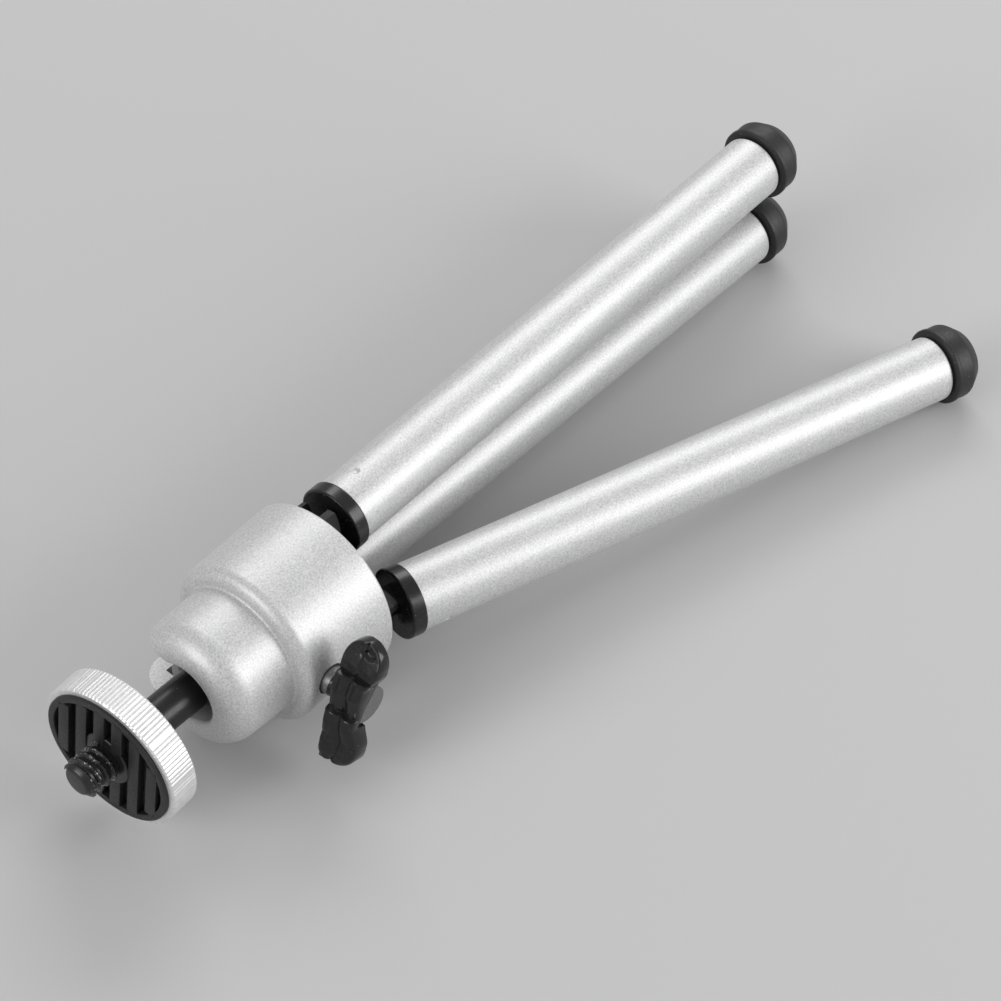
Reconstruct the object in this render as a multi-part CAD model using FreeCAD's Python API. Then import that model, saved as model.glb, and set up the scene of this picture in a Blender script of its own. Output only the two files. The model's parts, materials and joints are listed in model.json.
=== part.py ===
"""Pocket tripod with a ball head, three folding two-section legs and a 1/4 inch camera screw.

The tripod is drawn upright: +Z along the head towards the camera screw, z = 0 at the lower
rim of the head, leg A at azimuth 0. It is then laid on its side, on the rim of the head and
on the feet of legs B and C, with the head pointing along +X.
"""
import FreeCAD, Part
import os
from math import cos, radians, sin, sqrt

V = FreeCAD.Vector
X_AXIS, Y_AXIS, Z_AXIS = V(1, 0, 0), V(0, 1, 0), V(0, 0, 1)
ORIGIN = V(0, 0, 0)

# Clearances
RUNNING = 0.05            # radial, a shaft or tube running in a hole
FACE_GAP = 0.05           # between faces that turn on each other
FREE_GAP = 0.3            # between parts that pass without touching

# Head housing, a stepped die casting
HEAD_HEIGHT = 28.4
RIM_RADIUS = 13.7         # outside, at the lower rim
SHOULDER_RADIUS = 13.05   # outside, at the shoulder
SHOULDER_HEIGHT = 16.9
NOSE_RADIUS = 10.4        # narrow upper part, at the shoulder
NOSE_TOP_RADIUS = 10.1
RIM_ROUND = 0.5
SHOULDER_ROUND = 1.8
SHOULDER_INNER_ROUND = 0.4
NOSE_ROUND = 4.1
MOUTH_RADIUS = 5.0        # hole that the stem leaves by
MOUTH_ROUND = 0.8
BELL_RADIUS = 11.8        # recess that holds the leg hub
BORE_RADIUS = 8.2         # bore of the clamping parts
LIP_THICKNESS = 3.6       # wall round the mouth
LIP_CLEARANCE = 0.16      # ball to the inner edge of the mouth
SLOT_AZIMUTH = 65.0       # slot that lets the stem drop to the side
SLOT_HALF_WIDTH = 4.25
SLOT_CORNER = 1.5

# Ball, stem and platform
BALL_RADIUS = 6.5
STEM_FOOT_RADIUS = 3.0
STEM_TOP_RADIUS = 2.9
PLATFORM_REACH = 17.85    # ball centre to the back of the platform
PLATFORM_SKEW = 3.5       # disc and pad sit askew on the screw, in degrees
PLATFORM_SKEW_AZIMUTH = 210.0
PLATFORM_TURN = -28.0     # direction of the pad's ribs
PLATFORM_RADIUS = 11.85
PLATFORM_THICKNESS = 4.9
PLATFORM_EDGE = 0.35
PAD_RADIUS = 10.9
PAD_RECESS = 2.0          # depth of the platform's recess
PAD_PROUD = 0.4           # pad above the platform's rim
PAD_RIM = 1.1             # width of the pad's outer ring
PAD_GROOVE = 1.3          # depth between the ribs
RIB_WIDTH = 1.9
RIB_PITCH = 3.2

# Camera screw, 1/4-20 UNC
SCREW_RADIUS = 3.175
SCREW_LENGTH = 5.8        # above the pad
SCREW_POINT = 0.7
SCREW_FLANGE_RADIUS = 4.2
SHANK_RADIUS = 1.5
SHANK_LENGTH = 7.0        # below the platform

# Clamp: screw, washer, wing knob and the cup that presses on the ball
CLAMP_AZIMUTH = 249.0
CLAMP_HEIGHT = 12.4
CLAMP_SCREW_RADIUS = 1.5
CLAMP_TIP_RADIUS = 0.5
CLAMP_TIP_GAP = 0.1
WASHER_RADIUS = 2.25
WASHER_THICKNESS = 1.85
WASHER_POCKET_DEPTH = 0.95
KNOB_TURN = 15.6          # turn of the wings from square to the head, in degrees
WING_LENGTH = 22.4
WING_WIDTH = 6.3
WING_THICKNESS = 2.4
WING_CORNER = 3.0
KNOB_HUB_RADIUS = 3.1
KNOB_NECK = 1.1           # neck between the washer and the hub
CAP_RADIUS = 2.95         # bright disc at the outer end of the clamp screw
CAP_THICKNESS = 0.4
CAP_INSET = 1.4           # disc below the wing's outer edge
COVER_HEIGHT = 0.3        # half cover over the disc
COVER_TURN = 24.0         # turn of the cover's edge from the wings, in degrees
SADDLE_LENGTH = 6.6       # flat of the hollow in the wing's outer edge
SADDLE_RUN = 1.6          # length of each slope of the hollow
GRIP_STEPS = ((-10.9, -6.0, 0.35), (-5.5, 0.9, 0.9), (1.3, 6.4, 0.7), (6.8, 10.8, 0.4))
CUP_GAP = 0.95            # cup to the leg hub, at rest
LINER_HEIGHT = 7.5
LINER_CHAMFER = 1.1

# Leg hub, hinges and caps
LEG_RADIUS = 7.4          # closed leg's axis to the head's axis
PIVOT_RADIUS = 9.4
PIVOT_HEIGHT = 3.4
PIN_RADIUS = 1.0
EYE_RADIUS = 1.75
NECK_HALF_WIDTH = 1.95
NECK_DEPTH = 3.0          # across the leg, from the tube side of the eye
OPEN_LIMIT = 50.0         # widest spread of a leg, in degrees
LUG_GAP = 0.2             # each side of the neck
LUG_THICKNESS = 1.2
LUG_RADIUS = 6.9
HUB_FLOOR_THICKNESS = 1.6
HUB_POST_RADIUS = 3.2
HUB_POST_LENGTH = 2.4
HUB_SCREW_RADIUS = 1.0
HUB_SCREW_HEAD_RADIUS = 1.7
HUB_SCREW_HEAD = 1.1
HUB_SCREW_LENGTH = 6.0
COLLAR_RADIUS = 5.5
COLLAR_THICKNESS = 2.4
COLLAR_DROP = 7.85        # hinge to the top of the collar
PLUG_LENGTH = 8.0

# Legs
LEG_AZIMUTHS = {"a": 0.0, "b": 120.0, "c": 240.0}
LEG_SPREADS = {"a": 1.6, "b": -0.8, "c": 15.8}    # opened from closed, in degrees
TUBE_RADIUS = 5.2
TUBE_WALL = 0.5
TUBE_LENGTH = 97.8
TUBE_END_ROUND = 0.45
MOUTH_LIP = 1.2           # length of the rolled-in mouth of the outer tube
INNER_RADIUS = 4.5
INNER_WALL = 0.5
LEG_TRAVEL = 60.0
BUSH_LENGTH = 8.0
DIMPLE_FROM_END = 4.0
DIMPLE_AZIMUTHS = {"a": -13.0, "b": -81.0, "c": -13.0}
DIMPLE_RADIUS = 0.9
DIMPLE_DEPTH = 0.3
FOOT_RADIUS = 6.15
FOOT_BAND = 3.2
FOOT_TAPER = 2.3
FOOT_TIP_RADIUS = 4.3
FOOT_ROUND = 0.4
FOOT_SOCKET = 4.5


def cylinder(radius, bottom, top, axis=Z_AXIS, base=ORIGIN):
    """Cylinder from bottom to top along an axis through base."""
    return Part.makeCylinder(radius, top - bottom, base + axis * bottom, axis)


def cone(radius_low, radius_high, bottom, top, axis=Z_AXIS, base=ORIGIN):
    return Part.makeCone(radius_low, radius_high, top - bottom, base + axis * bottom, axis)


def box(x, y, z):
    """Box from three (low, high) pairs."""
    return Part.makeBox(x[1] - x[0], y[1] - y[0], z[1] - z[0], V(x[0], y[0], z[0]))


def turned(points):
    """Solid of revolution about Z from a closed outline of (radius, z) points."""
    outline = Part.makePolygon([V(r, 0, z) for r, z in points + points[:1]])
    return Part.Face(outline).revolve(ORIGIN, Z_AXIS, 360)


def ring_edges(shape, radius, height):
    """Circular edges about Z at a radius and a height."""
    circles = [edge for edge in shape.Edges if isinstance(edge.Curve, Part.Circle)]
    return [edge for edge in circles if abs(edge.Curve.Radius - radius) < 1e-3
            and abs(edge.Curve.Center.z - height) < 1e-3]


def rotated(shape, angle, axis=Z_AXIS, centre=ORIGIN):
    copy = shape.copy()
    copy.rotate(centre, axis, angle)
    return copy


def radial(azimuth):
    return V(cos(radians(azimuth)), sin(radians(azimuth)), 0)


# ---------------------------------------------------------------- head

def slot_cutter(floor):
    """Block that cuts the side slot, open upwards and outwards, with rounded lower corners."""
    block = box((0, 2 * RIM_RADIUS), (-SLOT_HALF_WIDTH, SLOT_HALF_WIDTH), (floor, 2 * HEAD_HEIGHT))
    low = [e for e in block.Edges
           if all(abs(v.Point.z - floor) < 1e-6 for v in e.Vertexes)
           and abs(e.Vertexes[0].Point.y - e.Vertexes[1].Point.y) < 1e-6]
    return rotated(block.makeFillet(SLOT_CORNER, low), SLOT_AZIMUTH)


HUB_FLOOR = PIVOT_HEIGHT + EYE_RADIUS + FREE_GAP
BELL_DEPTH = HUB_FLOOR + HUB_FLOOR_THICKNESS
HUB_SCREW_CIRCLE = BELL_RADIUS - FREE_GAP - HUB_SCREW_HEAD_RADIUS
HUB_SCREW_AZIMUTHS = [azimuth + 60 for azimuth in LEG_AZIMUTHS.values()]
LIP_UNDERSIDE = HEAD_HEIGHT - LIP_THICKNESS
BALL_HEIGHT = LIP_UNDERSIDE - sqrt((BALL_RADIUS + LIP_CLEARANCE) ** 2 - MOUTH_RADIUS ** 2)
SLOT_FLOOR = BALL_HEIGHT - STEM_FOOT_RADIUS - FREE_GAP
CLAMP_AXIS = radial(CLAMP_AZIMUTH)
CLAMP_BASE = V(0, 0, CLAMP_HEIGHT)
HEAD_SIDE = RIM_RADIUS + (SHOULDER_RADIUS - RIM_RADIUS) * CLAMP_HEIGHT / SHOULDER_HEIGHT
WASHER_SEAT = HEAD_SIDE - WASHER_POCKET_DEPTH
WASHER_TOP = WASHER_SEAT + FACE_GAP + WASHER_THICKNESS
BALL_CENTRE = V(0, 0, BALL_HEIGHT)


def head_housing():
    """Stepped shell: bell for the leg hub, bore for the clamping parts, mouth and side slot."""
    body = turned([(0, 0), (RIM_RADIUS, 0), (SHOULDER_RADIUS, SHOULDER_HEIGHT),
                   (NOSE_RADIUS, SHOULDER_HEIGHT), (NOSE_TOP_RADIUS, HEAD_HEIGHT), (0, HEAD_HEIGHT)])
    body = body.cut(cylinder(BELL_RADIUS, -1, BELL_DEPTH))
    body = body.cut(cylinder(BORE_RADIUS, 0, LIP_UNDERSIDE))
    body = body.cut(cylinder(MOUTH_RADIUS, 0, HEAD_HEIGHT + 1))
    for radius, height, rounding in (
            (RIM_RADIUS, 0, RIM_ROUND), (SHOULDER_RADIUS, SHOULDER_HEIGHT, SHOULDER_ROUND),
            (NOSE_RADIUS, SHOULDER_HEIGHT, SHOULDER_INNER_ROUND),
            (NOSE_TOP_RADIUS, HEAD_HEIGHT, NOSE_ROUND), (MOUTH_RADIUS, HEAD_HEIGHT, MOUTH_ROUND)):
        body = body.makeFillet(rounding, ring_edges(body, radius, height))
    body = body.cut(slot_cutter(SLOT_FLOOR))
    screw_hole = cylinder(CLAMP_SCREW_RADIUS + RUNNING, 0, 2 * RIM_RADIUS, CLAMP_AXIS, CLAMP_BASE)
    washer_pocket = cylinder(WASHER_RADIUS + FREE_GAP, WASHER_SEAT, 2 * RIM_RADIUS,
                             CLAMP_AXIS, CLAMP_BASE)
    body = body.cut(screw_hole).cut(washer_pocket)
    for azimuth in HUB_SCREW_AZIMUTHS:
        body = body.cut(cylinder(HUB_SCREW_RADIUS, BELL_DEPTH - 1, BELL_DEPTH + HUB_SCREW_LENGTH,
                                 base=radial(azimuth) * HUB_SCREW_CIRCLE))
    return body


def ball_space():
    return Part.makeSphere(BALL_RADIUS + RUNNING, BALL_CENTRE)


def ball_liner():
    """Plastic ring under the lip that holds the ball down; slotted like the housing."""
    top = LIP_UNDERSIDE
    ring = turned([(0, top - LINER_HEIGHT), (BORE_RADIUS, top - LINER_HEIGHT),
                   (BORE_RADIUS, top - LINER_CHAMFER), (BORE_RADIUS - LINER_CHAMFER, top), (0, top)])
    ring = ring.cut(ball_space()).cut(cylinder(BALL_RADIUS + RUNNING, 0, BALL_HEIGHT))
    ring = ring.cut(cylinder(MOUTH_RADIUS, 0, HEAD_HEIGHT))
    return ring.cut(slot_cutter(SLOT_FLOOR))


CUP_TOP = LIP_UNDERSIDE - LINER_HEIGHT - FREE_GAP
CUP_BOTTOM = BELL_DEPTH + CUP_GAP
CUP_RADIUS = BORE_RADIUS - RUNNING
CLAMP_TIP_END = CUP_RADIUS - FREE_GAP - (CLAMP_SCREW_RADIUS - CLAMP_TIP_RADIUS)


def pressure_cup():
    """Plug below the ball, with a round seat on top and a taper that the screw's point wedges."""
    cup = cylinder(CUP_RADIUS, CUP_BOTTOM, CUP_TOP).cut(ball_space())
    gap = CLAMP_TIP_GAP * sqrt(2)
    tip_start = CUP_RADIUS - FREE_GAP
    taper = cone(CLAMP_TIP_RADIUS, CLAMP_SCREW_RADIUS + gap, CLAMP_TIP_END - gap, tip_start,
                 CLAMP_AXIS, CLAMP_BASE)
    mouth = cylinder(CLAMP_SCREW_RADIUS + gap, tip_start, 2 * BORE_RADIUS, CLAMP_AXIS, CLAMP_BASE)
    return cup.cut(taper).cut(mouth)


# ---------------------------------------------------------------- ball and platform

PLATFORM_BACK = BALL_HEIGHT + PLATFORM_REACH
PLATFORM_FRONT = PLATFORM_BACK + PLATFORM_THICKNESS
PAD_FLOOR = PLATFORM_FRONT - PAD_RECESS
PAD_TOP = PLATFORM_FRONT + PAD_PROUD
SCREW_TIP = PAD_TOP + SCREW_LENGTH


def ball():
    return Part.makeSphere(BALL_RADIUS, BALL_CENTRE)


def ball_stem():
    stem = cone(STEM_FOOT_RADIUS, STEM_TOP_RADIUS, BALL_HEIGHT, PLATFORM_BACK - FREE_GAP)
    stem = stem.cut(ball_space())
    return stem.cut(cylinder(SHANK_RADIUS + RUNNING, PLATFORM_BACK - SHANK_LENGTH - FREE_GAP,
                             PLATFORM_BACK))


def skewed(shape):
    """Shape tilted about the middle of the disc, as the disc sits on the screw."""
    centre = V(0, 0, (PLATFORM_BACK + PLATFORM_FRONT) / 2)
    return rotated(shape, PLATFORM_SKEW, Z_AXIS.cross(radial(PLATFORM_SKEW_AZIMUTH)), centre)


def platform_disc():
    """Knurled disc with a recess for the pad."""
    disc = cylinder(PLATFORM_RADIUS, PLATFORM_BACK, PLATFORM_FRONT)
    edges = (ring_edges(disc, PLATFORM_RADIUS, PLATFORM_BACK)
             + ring_edges(disc, PLATFORM_RADIUS, PLATFORM_FRONT))
    disc = disc.makeChamfer(PLATFORM_EDGE, edges)
    disc = disc.cut(cylinder(PAD_RADIUS, PAD_FLOOR, PLATFORM_FRONT + 1))
    return skewed(disc).cut(camera_screw())


def rubber_pad():
    """Rubber pad with a raised rim and straight ribs."""
    groove_floor = PAD_TOP - PAD_GROOVE
    pad = cylinder(PAD_RADIUS, PAD_FLOOR, groove_floor)
    rim = cylinder(PAD_RADIUS, groove_floor, PAD_TOP).cut(
        cylinder(PAD_RADIUS - PAD_RIM, groove_floor - 1, PAD_TOP + 1))
    inside = cylinder(PAD_RADIUS - PAD_RIM / 2, groove_floor, PAD_TOP)
    count = int((PAD_RADIUS - PAD_RIM) / RIB_PITCH)
    ribs = [box((-PAD_RADIUS, PAD_RADIUS),
                ((step + 0.5) * RIB_PITCH - RIB_WIDTH / 2, (step + 0.5) * RIB_PITCH + RIB_WIDTH / 2),
                (groove_floor, PAD_TOP)).common(inside) for step in range(-count, count)]
    pad = rotated(pad.fuse([rim] + ribs).removeSplitter(), PLATFORM_TURN)
    return skewed(pad).cut(cylinder(SCREW_FLANGE_RADIUS, PAD_FLOOR - 1, PAD_TOP + 1))


def camera_screw():
    """Flanged screw: 1/4 inch thread above the pad, shank through the platform into the stem."""
    thread = cylinder(SCREW_RADIUS, PAD_TOP, SCREW_TIP)
    thread = thread.makeChamfer(SCREW_POINT, ring_edges(thread, SCREW_RADIUS, SCREW_TIP))
    flange = cylinder(SCREW_FLANGE_RADIUS, PAD_FLOOR, PAD_TOP)
    shank = cylinder(SHANK_RADIUS, PLATFORM_BACK - SHANK_LENGTH, PAD_FLOOR)
    return thread.fuse([flange, shank]).removeSplitter()


# ---------------------------------------------------------------- clamp

HUB_INNER = WASHER_TOP + FACE_GAP
WING_INNER = HUB_INNER + KNOB_NECK
WING_OUTER = WING_INNER + WING_WIDTH
CAP_FACE = WING_OUTER - CAP_INSET
SADDLE_FLOOR = CAP_FACE + COVER_HEIGHT


def knob_frame(shape):
    """From the knob's own frame (X outwards, Y along the wings) to its place on the head."""
    placed = rotated(shape, -KNOB_TURN, X_AXIS)
    placed = rotated(placed, CLAMP_AZIMUTH)
    placed.translate(CLAMP_BASE)
    return placed


def clamp_screw():
    shank = cylinder(CLAMP_SCREW_RADIUS, CUP_RADIUS - FREE_GAP, CAP_FACE - CAP_THICKNESS, X_AXIS)
    tip = cone(CLAMP_TIP_RADIUS, CLAMP_SCREW_RADIUS, CLAMP_TIP_END, CUP_RADIUS - FREE_GAP, X_AXIS)
    cap = cylinder(CAP_RADIUS, CAP_FACE - CAP_THICKNESS, CAP_FACE, X_AXIS)
    return knob_frame(shank.fuse([tip, cap]))


def clamp_washer():
    ring = cylinder(WASHER_RADIUS, WASHER_SEAT + FACE_GAP, WASHER_TOP, X_AXIS)
    ring = ring.cut(cylinder(CLAMP_SCREW_RADIUS + RUNNING, 0, 2 * WASHER_TOP, X_AXIS))
    return knob_frame(ring)


def saddle_cutter():
    """Prism that hollows the wing's outer edge over the disc."""
    half = SADDLE_LENGTH / 2
    rise = SADDLE_RUN * 2
    top = SADDLE_FLOOR + (WING_OUTER - SADDLE_FLOOR) * 2
    points = [V(SADDLE_FLOOR, -half, -1), V(SADDLE_FLOOR, half, -1), V(top, half + rise, -1),
              V(top, -half - rise, -1), V(SADDLE_FLOOR, -half, -1)]
    return Part.Face(Part.makePolygon(points)).extrude(Z_AXIS * (2 * WING_THICKNESS))


def wing_blade():
    """Flat wing with rounded corners and a hollowed outer edge, stepped for grip on one side."""
    half = WING_LENGTH / 2
    blade = box((WING_INNER, WING_OUTER), (-half, half), (0, WING_THICKNESS))
    corners = [e for e in blade.Edges if abs(e.Vertexes[0].Point.z - e.Vertexes[1].Point.z) > 1
               and abs(abs(e.Vertexes[0].Point.y) - half) < 1e-6]
    blade = blade.makeFillet(WING_CORNER, corners).cut(saddle_cutter())
    outline = blade.copy()
    outline.translate(V(0, 0, WING_THICKNESS - 0.2))
    middle = (WING_INNER + WING_OUTER) / 2
    steps = []
    for low, high, rise in GRIP_STEPS:
        for side, drop in ((WING_INNER, 0.0), (middle, 0.25)):
            step = box((side, side + WING_WIDTH / 2), (low, high),
                       (WING_THICKNESS - 0.2, WING_THICKNESS + rise - drop))
            steps.append(step.common(outline))
    return blade.fuse(steps)


def wing_knob():
    """Wing on one side of the screw, with a round hub and a half cover over the screw's disc."""
    hub = cylinder(KNOB_HUB_RADIUS, WING_INNER, CAP_FACE - CAP_THICKNESS, X_AXIS)
    neck = cylinder(WASHER_RADIUS, HUB_INNER, WING_INNER, X_AXIS)
    knob = wing_blade().fuse([hub, neck])
    knob = knob.cut(cylinder(CAP_RADIUS, CAP_FACE - CAP_THICKNESS, 2 * WING_OUTER, X_AXIS))
    knob = knob.cut(cylinder(CLAMP_SCREW_RADIUS, 0, CAP_FACE, X_AXIS))
    cover = cylinder(CAP_RADIUS, CAP_FACE, SADDLE_FLOOR, X_AXIS)
    cover = cover.cut(box((0, 2 * WING_OUTER), (-WING_LENGTH, WING_LENGTH), (-WING_LENGTH, 0)))
    return knob_frame(knob.fuse(rotated(cover, -COVER_TURN, X_AXIS)).removeSplitter())


# ---------------------------------------------------------------- hub and hinges

PIVOT = V(PIVOT_RADIUS, 0, PIVOT_HEIGHT)
NECK_SETBACK = (FREE_GAP + PIVOT_HEIGHT * sin(radians(OPEN_LIMIT))
                - (BELL_RADIUS - PIVOT_RADIUS) * cos(radians(OPEN_LIMIT)))
LUG_INNER = NECK_HALF_WIDTH + LUG_GAP
LUG_OUTER = LUG_INNER + LUG_THICKNESS


def lug_pair():
    """Two round-ended lugs either side of a leg's neck, cut to the bell's radius."""
    lugs = []
    top = HUB_FLOOR + HUB_FLOOR_THICKNESS / 2
    inside = cylinder(BELL_RADIUS - FREE_GAP, -2 * LUG_RADIUS, top)
    for low, high in ((LUG_INNER, LUG_OUTER), (-LUG_OUTER, -LUG_INNER)):
        disc = cylinder(LUG_RADIUS, low, high, Y_AXIS, PIVOT)
        root = box((PIVOT_RADIUS - LUG_RADIUS, PIVOT_RADIUS + LUG_RADIUS), (low, high),
                   (PIVOT_HEIGHT, top))
        lugs.append(disc.fuse(root).common(inside))
    hole = cylinder(PIN_RADIUS, -2 * LUG_OUTER, 2 * LUG_OUTER, Y_AXIS, PIVOT)
    return [lug.cut(hole) for lug in lugs]


def leg_hub():
    """Plastic spider in the bell: floor, post and three pairs of lugs."""
    floor = cylinder(BELL_RADIUS - FREE_GAP, HUB_FLOOR, HUB_FLOOR + HUB_FLOOR_THICKNESS)
    post = cylinder(HUB_POST_RADIUS, HUB_FLOOR - HUB_POST_LENGTH, HUB_FLOOR)
    pieces = [post]
    for azimuth in LEG_AZIMUTHS.values():
        pieces += [rotated(lug, azimuth) for lug in lug_pair()]
    hub = floor.fuse(pieces).removeSplitter()
    for azimuth in HUB_SCREW_AZIMUTHS:
        hub = hub.cut(cylinder(HUB_SCREW_RADIUS, 0, 2 * BELL_DEPTH,
                               base=radial(azimuth) * HUB_SCREW_CIRCLE))
    return hub


def hub_screws():
    """Three screws that hold the hub up against the bell's ledge."""
    screws = []
    for azimuth in HUB_SCREW_AZIMUTHS:
        base = radial(azimuth) * HUB_SCREW_CIRCLE
        shank = cylinder(HUB_SCREW_RADIUS, HUB_FLOOR, BELL_DEPTH + HUB_SCREW_LENGTH, base=base)
        head = cylinder(HUB_SCREW_HEAD_RADIUS, HUB_FLOOR - HUB_SCREW_HEAD, HUB_FLOOR, base=base)
        screws.append(shank.fuse(head).removeSplitter())
    return Part.makeCompound(screws)


def hinge_pin():
    return cylinder(PIN_RADIUS, -LUG_OUTER, LUG_OUTER, Y_AXIS, PIVOT)


# ---------------------------------------------------------------- legs, drawn closed at azimuth 0

COLLAR_TOP = PIVOT_HEIGHT - COLLAR_DROP
TUBE_TOP = COLLAR_TOP - COLLAR_THICKNESS
TUBE_BOTTOM = TUBE_TOP - TUBE_LENGTH
TUBE_BORE = TUBE_RADIUS - TUBE_WALL
LEG_BASE = V(LEG_RADIUS, 0, 0)
FOOT_TOP = TUBE_BOTTOM - FREE_GAP
BUSH_BOTTOM = TUBE_BOTTOM + MOUTH_LIP + FREE_GAP + LEG_TRAVEL
INNER_TOP = BUSH_BOTTOM + BUSH_LENGTH


def leg_cap(leg):
    """Hinge cap: eye and neck between the lugs, collar, and plug inside the tube."""
    eye = cylinder(EYE_RADIUS, -NECK_HALF_WIDTH, NECK_HALF_WIDTH, Y_AXIS, PIVOT)
    neck_outer = PIVOT_RADIUS - NECK_SETBACK
    neck = box((neck_outer - NECK_DEPTH, neck_outer), (-NECK_HALF_WIDTH, NECK_HALF_WIDTH),
               (COLLAR_TOP, PIVOT_HEIGHT))
    collar = cylinder(COLLAR_RADIUS, TUBE_TOP, COLLAR_TOP)
    edges = ring_edges(collar, COLLAR_RADIUS, COLLAR_TOP) + ring_edges(collar, COLLAR_RADIUS, TUBE_TOP)
    collar = collar.makeFillet(COLLAR_THICKNESS / 8, edges)
    plug = cylinder(TUBE_BORE, TUBE_TOP - PLUG_LENGTH, TUBE_TOP)
    for shape in (collar, plug):
        shape.translate(LEG_BASE)
    cap = collar.fuse([plug, neck, eye]).removeSplitter()
    cap = cap.cut(cylinder(PIN_RADIUS + RUNNING, -LUG_OUTER, LUG_OUTER, Y_AXIS, PIVOT))
    return cap.cut(dimple_tools(leg))


def dimple_tools(leg):
    """Round-nosed punches that dent the tube into the plug, on two sides."""
    sphere_offset = DIMPLE_RADIUS - DIMPLE_DEPTH
    punches = []
    for azimuth in (DIMPLE_AZIMUTHS[leg], DIMPLE_AZIMUTHS[leg] + 180):
        centre = (LEG_BASE + V(0, 0, TUBE_TOP - DIMPLE_FROM_END)
                  + radial(azimuth) * (TUBE_RADIUS + sphere_offset))
        punches.append(Part.makeSphere(DIMPLE_RADIUS, centre))
    return Part.makeCompound(punches)


def outer_tube(leg):
    """Painted tube, cut square at the cap and rolled in at the mouth."""
    lip_bore = INNER_RADIUS + RUNNING
    tube = turned([(TUBE_BORE, TUBE_TOP), (TUBE_RADIUS, TUBE_TOP), (TUBE_RADIUS, TUBE_BOTTOM),
                   (lip_bore, TUBE_BOTTOM), (lip_bore, TUBE_BOTTOM + MOUTH_LIP),
                   (TUBE_BORE, TUBE_BOTTOM + MOUTH_LIP)])
    tube = tube.makeFillet(TUBE_END_ROUND, ring_edges(tube, TUBE_RADIUS, TUBE_BOTTOM))
    tube.translate(LEG_BASE)
    return tube.cut(dimple_tools(leg))


def inner_tube():
    tube = cylinder(INNER_RADIUS, FOOT_TOP - FOOT_SOCKET, INNER_TOP)
    tube = tube.cut(cylinder(INNER_RADIUS - INNER_WALL, FOOT_TOP - 2 * FOOT_SOCKET, INNER_TOP + 1))
    tube.translate(LEG_BASE)
    return tube


def tube_bush():
    """Plastic sleeve on the upper end of the inner tube; rubs in the outer tube."""
    ring = cylinder(TUBE_BORE - RUNNING, BUSH_BOTTOM, INNER_TOP)
    ring = ring.cut(cylinder(INNER_RADIUS, BUSH_BOTTOM - 1, INNER_TOP + 1))
    ring.translate(LEG_BASE)
    return ring


def foot():
    """Rubber foot over the end of the inner tube: straight band, then a taper."""
    tip = FOOT_TOP - FOOT_BAND - FOOT_TAPER
    body = turned([(0, FOOT_TOP), (FOOT_RADIUS, FOOT_TOP), (FOOT_RADIUS, FOOT_TOP - FOOT_BAND),
                   (FOOT_TIP_RADIUS, tip), (0, tip)])
    edges = (ring_edges(body, FOOT_RADIUS, FOOT_TOP)
             + ring_edges(body, FOOT_RADIUS, FOOT_TOP - FOOT_BAND)
             + ring_edges(body, FOOT_TIP_RADIUS, tip))
    body = body.makeFillet(FOOT_ROUND, edges)
    body = body.cut(cylinder(INNER_RADIUS, FOOT_TOP - FOOT_SOCKET, FOOT_TOP + 1))
    body.translate(LEG_BASE)
    return body


def leg_placed(point_or_shape, leg):
    """Fold a closed leg out by its spread and turn it to its azimuth."""
    turn = FreeCAD.Rotation(Z_AXIS, LEG_AZIMUTHS[leg])
    fold = FreeCAD.Rotation(-Y_AXIS, LEG_SPREADS[leg])
    if isinstance(point_or_shape, Part.Shape):
        shape = rotated(point_or_shape, LEG_SPREADS[leg], -Y_AXIS, PIVOT)
        return rotated(shape, LEG_AZIMUTHS[leg])
    return turn.multVec(PIVOT + fold.multVec(point_or_shape - PIVOT))


# ---------------------------------------------------------------- assembly and resting place

def upright_nodes():
    """Every node of the upright tripod, by name."""
    nodes = {"head_housing": head_housing(), "ball_liner": ball_liner(), "leg_hub": leg_hub(),
             "hub_screws": hub_screws(), "pressure_cup": pressure_cup(), "ball": ball(),
             "ball_stem": ball_stem(), "platform_disc": platform_disc(), "rubber_pad": rubber_pad(),
             "camera_screw": camera_screw(), "clamp_screw": clamp_screw(),
             "clamp_washer": clamp_washer(), "wing_knob": wing_knob()}
    for leg, azimuth in LEG_AZIMUTHS.items():
        pieces = {"leg_cap": leg_cap(leg), "outer_tube": outer_tube(leg),
                  "inner_tube": inner_tube(), "tube_bush": tube_bush(), "foot": foot()}
        nodes["hinge_pin_" + leg] = rotated(hinge_pin(), azimuth)
        for name, shape in pieces.items():
            nodes[name + "_" + leg] = leg_placed(shape, leg)
    return nodes


def lowest_point(ring, up):
    """Lowest point of a ring given as (centre, axis, radius)."""
    centre, axis, radius = ring
    across = up - axis * up.dot(axis)
    return centre - across.normalize() * radius


def resting_plane():
    """Up direction and a contact point, with the rim and the feet of legs B and C down."""
    rim = [(V(0, 0, RIM_ROUND), Z_AXIS, RIM_RADIUS), (V(0, 0, SHOULDER_HEIGHT), Z_AXIS, SHOULDER_RADIUS)]
    supports = [rim]
    for leg in ("b", "c"):
        top = leg_placed(LEG_BASE + V(0, 0, FOOT_TOP - FOOT_ROUND), leg)
        bottom = leg_placed(LEG_BASE + V(0, 0, FOOT_TOP - FOOT_BAND), leg)
        axis = (top - bottom).normalize()
        supports.append([(top, axis, FOOT_RADIUS), (bottom, axis, FOOT_RADIUS)])
    up = V(X_AXIS)
    for _ in range(30):
        head, foot_b, foot_c = [min((lowest_point(ring, up) for ring in rings), key=up.dot)
                                for rings in supports]
        up = (foot_b - head).cross(foot_c - head).normalize()
        if up.x < 0:
            up = -up
    return up, head


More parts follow.
